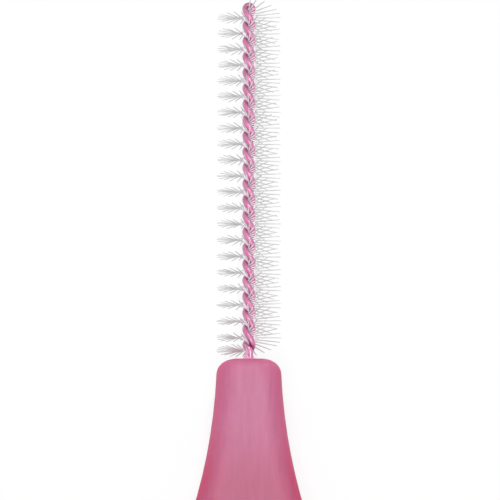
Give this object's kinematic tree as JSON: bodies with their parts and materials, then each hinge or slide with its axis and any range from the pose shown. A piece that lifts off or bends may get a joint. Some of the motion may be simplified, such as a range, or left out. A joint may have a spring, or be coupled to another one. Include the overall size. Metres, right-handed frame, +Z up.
{
  "type": "interdental brush",
  "caption": "Interdental brush: a flat moulded handle with a flared neck holds a twisted, colour-coated wire that grips rows of fine nylon filaments along its length",
  "frame": {"origin": "centre of the bounding box in plan, at the level of the handle's flat back", "axes": "+Y along the brush towards the tip of the wire, +Z up from the flat back, +X to the right seen from above with the tip away"},
  "size_m": [0.0084, 0.0644, 0.0036],
  "materials": {
    "handle_plastic": "satin moulded polypropylene, pink",
    "coated_wire": "stainless wire under a glossy pink polymer coating",
    "filament_nylon": "natural translucent nylon filament"
  },
  "bodies": {
    "root": {"handle": "handle_plastic", "twisted_wire": "coated_wire", "filaments_01": "filament_nylon", "filaments_02": "filament_nylon", "filaments_03": "filament_nylon", "filaments_04": "filament_nylon", "filaments_05": "filament_nylon", "filaments_06": "filament_nylon", "filaments_07": "filament_nylon", "filaments_08": "filament_nylon", "filaments_09": "filament_nylon", "filaments_10": "filament_nylon", "filaments_11": "filament_nylon", "filaments_12": "filament_nylon", "filaments_13": "filament_nylon", "filaments_14": "filament_nylon", "filaments_15": "filament_nylon", "filaments_16": "filament_nylon", "filaments_17": "filament_nylon", "filaments_18": "filament_nylon", "filaments_19": "filament_nylon", "filaments_20": "filament_nylon", "filaments_21": "filament_nylon", "filaments_22": "filament_nylon"}
  },
  "joints": []
}
